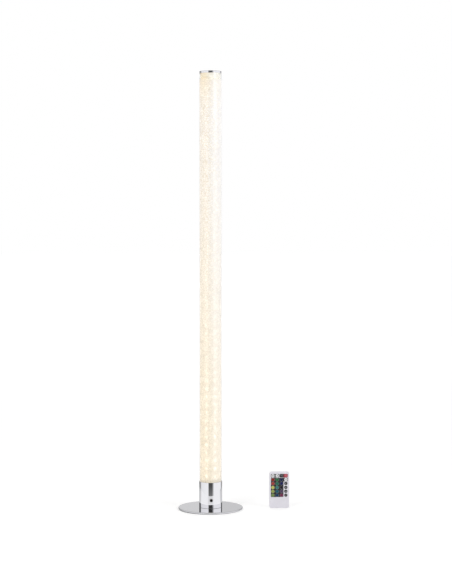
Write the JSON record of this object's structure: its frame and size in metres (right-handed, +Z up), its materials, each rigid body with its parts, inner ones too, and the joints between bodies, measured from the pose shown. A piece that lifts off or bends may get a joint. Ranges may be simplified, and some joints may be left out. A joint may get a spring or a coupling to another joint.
{
  "type": "led corner floor lamp",
  "caption": "Slim upright LED column lamp: a lit crackle-filled acrylic tube in a chromed collar on a round mirror base, with a hand-held remote control.",
  "frame": {"origin": "on the floor, at the middle of the underside of the base's pad, on the column's axis", "axes": "+Z up along the column, -Y towards the front with the signal eye and the keys, +X towards the remote"},
  "size_m": [0.3065, 0.178, 1.2],
  "materials": {
    "polished_chrome": "polished",
    "satin_metal": "satin",
    "foam_pad": "matte",
    "seal_silicone": "satin",
    "zinc_steel": "satin",
    "white_moulding": "matte",
    "black_moulding": "satin",
    "smoked_lens": "gloss",
    "circuit_board": "gloss",
    "component_black": "matte",
    "grey_insulation": "satin",
    "black_insulation": "satin",
    "white_insulation": "satin",
    "mast_aluminium": "anodised",
    "strip_white": "gloss",
    "led_package": "gloss",
    "crackle_film": "crackled",
    "clear_acrylic": "polished",
    "remote_case": "satin",
    "panel_print": "matte",
    "membrane_rubber": "matte",
    "emitter_lens": "gloss",
    "cell_steel": "satin",
    "contact_metal": "satin",
    "key_brighter": "satin",
    "key_dimmer": "satin",
    "key_off": "satin",
    "key_on": "satin",
    "key_red": "satin",
    "key_green": "satin",
    "key_blue": "satin",
    "key_white": "satin",
    "key_orange": "satin",
    "key_mint": "satin",
    "key_indigo": "satin",
    "key_flash": "satin",
    "key_yellow": "satin",
    "key_teal": "satin",
    "key_plum": "satin",
    "key_strobe": "satin",
    "key_lime": "satin",
    "key_petrol": "satin",
    "key_mauve": "satin",
    "key_fade": "satin",
    "key_leaf": "satin",
    "key_navy": "satin",
    "key_rose": "satin",
    "key_smooth": "satin"
  },
  "bodies": {
    "lamp": {"floor_pad": "foam_pad", "base_plate": "polished_chrome", "base_screws": "zinc_steel", "collar_seal": "seal_silicone", "base_collar": "polished_chrome", "tube_socket": "white_moulding", "ir_window": "smoked_lens", "ir_bezel": "satin_metal", "ir_receiver": "black_moulding", "receiver_leads": "grey_insulation", "controller_board": "circuit_board", "board_components": "component_black", "board_screws": "zinc_steel", "power_inlet": "black_moulding", "inlet_nut": "zinc_steel", "supply_wires": "black_insulation", "led_mast": "mast_aluminium", "led_strips": "strip_white", "led_chips": "led_package", "strip_leads": "white_insulation", "crackle_film": "crackle_film", "outer_tube": "clear_acrylic", "top_plug": "white_moulding", "top_cap": "polished_chrome", "cap_screw": "zinc_steel"},
    "remote": {"remote_face_shell": "remote_case", "remote_back_shell": "remote_case", "remote_key_panels": "panel_print", "remote_board": "circuit_board", "remote_key_membrane": "membrane_rubber", "remote_ir_emitter": "emitter_lens", "remote_contacts": "contact_metal"},
    "battery_tray": {"remote_battery_tray": "remote_case", "remote_battery": "cell_steel"},
    "key_brighter": {"key_brighter": "key_brighter"},
    "key_dimmer": {"key_dimmer": "key_dimmer"},
    "key_off": {"key_off": "key_off"},
    "key_on": {"key_on": "key_on"},
    "key_red": {"key_red": "key_red"},
    "key_green": {"key_green": "key_green"},
    "key_blue": {"key_blue": "key_blue"},
    "key_white": {"key_white": "key_white"},
    "key_orange": {"key_orange": "key_orange"},
    "key_mint": {"key_mint": "key_mint"},
    "key_indigo": {"key_indigo": "key_indigo"},
    "key_flash": {"key_flash": "key_flash"},
    "key_yellow": {"key_yellow": "key_yellow"},
    "key_teal": {"key_teal": "key_teal"},
    "key_plum": {"key_plum": "key_plum"},
    "key_strobe": {"key_strobe": "key_strobe"},
    "key_lime": {"key_lime": "key_lime"},
    "key_petrol": {"key_petrol": "key_petrol"},
    "key_mauve": {"key_mauve": "key_mauve"},
    "key_fade": {"key_fade": "key_fade"},
    "key_leaf": {"key_leaf": "key_leaf"},
    "key_navy": {"key_navy": "key_navy"},
    "key_rose": {"key_rose": "key_rose"},
    "key_smooth": {"key_smooth": "key_smooth"}
  },
  "joints": [
    {"name": "remote_lift", "type": "slide", "parent": "lamp", "child": "remote", "axis": [0, 0, 1], "range_m": [0, 0.25]},
    {"name": "battery_tray_slide", "type": "slide", "parent": "remote", "child": "battery_tray", "axis": [1, 0, 0], "range_m": [0, 0.026]},
    {"name": "key_brighter_press", "type": "slide", "parent": "remote", "child": "key_brighter", "axis": [0, 1, 0], "range_m": [0, 0.0006], "stiffness_N_per_m": 2500},
    {"name": "key_dimmer_press", "type": "slide", "parent": "remote", "child": "key_dimmer", "axis": [0, 1, 0], "range_m": [0, 0.0006], "stiffness_N_per_m": 2500},
    {"name": "key_off_press", "type": "slide", "parent": "remote", "child": "key_off", "axis": [0, 1, 0], "range_m": [0, 0.0006], "stiffness_N_per_m": 2500},
    {"name": "key_on_press", "type": "slide", "parent": "remote", "child": "key_on", "axis": [0, 1, 0], "range_m": [0, 0.0006], "stiffness_N_per_m": 2500},
    {"name": "key_red_press", "type": "slide", "parent": "remote", "child": "key_red", "axis": [0, 1, 0], "range_m": [0, 0.0006], "stiffness_N_per_m": 2500},
    {"name": "key_green_press", "type": "slide", "parent": "remote", "child": "key_green", "axis": [0, 1, 0], "range_m": [0, 0.0006], "stiffness_N_per_m": 2500},
    {"name": "key_blue_press", "type": "slide", "parent": "remote", "child": "key_blue", "axis": [0, 1, 0], "range_m": [0, 0.0006], "stiffness_N_per_m": 2500},
    {"name": "key_white_press", "type": "slide", "parent": "remote", "child": "key_white", "axis": [0, 1, 0], "range_m": [0, 0.0006], "stiffness_N_per_m": 2500},
    {"name": "key_orange_press", "type": "slide", "parent": "remote", "child": "key_orange", "axis": [0, 1, 0], "range_m": [0, 0.0006], "stiffness_N_per_m": 2500},
    {"name": "key_mint_press", "type": "slide", "parent": "remote", "child": "key_mint", "axis": [0, 1, 0], "range_m": [0, 0.0006], "stiffness_N_per_m": 2500},
    {"name": "key_indigo_press", "type": "slide", "parent": "remote", "child": "key_indigo", "axis": [0, 1, 0], "range_m": [0, 0.0006], "stiffness_N_per_m": 2500},
    {"name": "key_flash_press", "type": "slide", "parent": "remote", "child": "key_flash", "axis": [0, 1, 0], "range_m": [0, 0.0006], "stiffness_N_per_m": 2500},
    {"name": "key_yellow_press", "type": "slide", "parent": "remote", "child": "key_yellow", "axis": [0, 1, 0], "range_m": [0, 0.0006], "stiffness_N_per_m": 2500},
    {"name": "key_teal_press", "type": "slide", "parent": "remote", "child": "key_teal", "axis": [0, 1, 0], "range_m": [0, 0.0006], "stiffness_N_per_m": 2500},
    {"name": "key_plum_press", "type": "slide", "parent": "remote", "child": "key_plum", "axis": [0, 1, 0], "range_m": [0, 0.0006], "stiffness_N_per_m": 2500},
    {"name": "key_strobe_press", "type": "slide", "parent": "remote", "child": "key_strobe", "axis": [0, 1, 0], "range_m": [0, 0.0006], "stiffness_N_per_m": 2500},
    {"name": "key_lime_press", "type": "slide", "parent": "remote", "child": "key_lime", "axis": [0, 1, 0], "range_m": [0, 0.0006], "stiffness_N_per_m": 2500},
    {"name": "key_petrol_press", "type": "slide", "parent": "remote", "child": "key_petrol", "axis": [0, 1, 0], "range_m": [0, 0.0006], "stiffness_N_per_m": 2500},
    {"name": "key_mauve_press", "type": "slide", "parent": "remote", "child": "key_mauve", "axis": [0, 1, 0], "range_m": [0, 0.0006], "stiffness_N_per_m": 2500},
    {"name": "key_fade_press", "type": "slide", "parent": "remote", "child": "key_fade", "axis": [0, 1, 0], "range_m": [0, 0.0006], "stiffness_N_per_m": 2500},
    {"name": "key_leaf_press", "type": "slide", "parent": "remote", "child": "key_leaf", "axis": [0, 1, 0], "range_m": [0, 0.0006], "stiffness_N_per_m": 2500},
    {"name": "key_navy_press", "type": "slide", "parent": "remote", "child": "key_navy", "axis": [0, 1, 0], "range_m": [0, 0.0006], "stiffness_N_per_m": 2500},
    {"name": "key_rose_press", "type": "slide", "parent": "remote", "child": "key_rose", "axis": [0, 1, 0], "range_m": [0, 0.0006], "stiffness_N_per_m": 2500},
    {"name": "key_smooth_press", "type": "slide", "parent": "remote", "child": "key_smooth", "axis": [0, 1, 0], "range_m": [0, 0.0006], "stiffness_N_per_m": 2500}
  ]
}
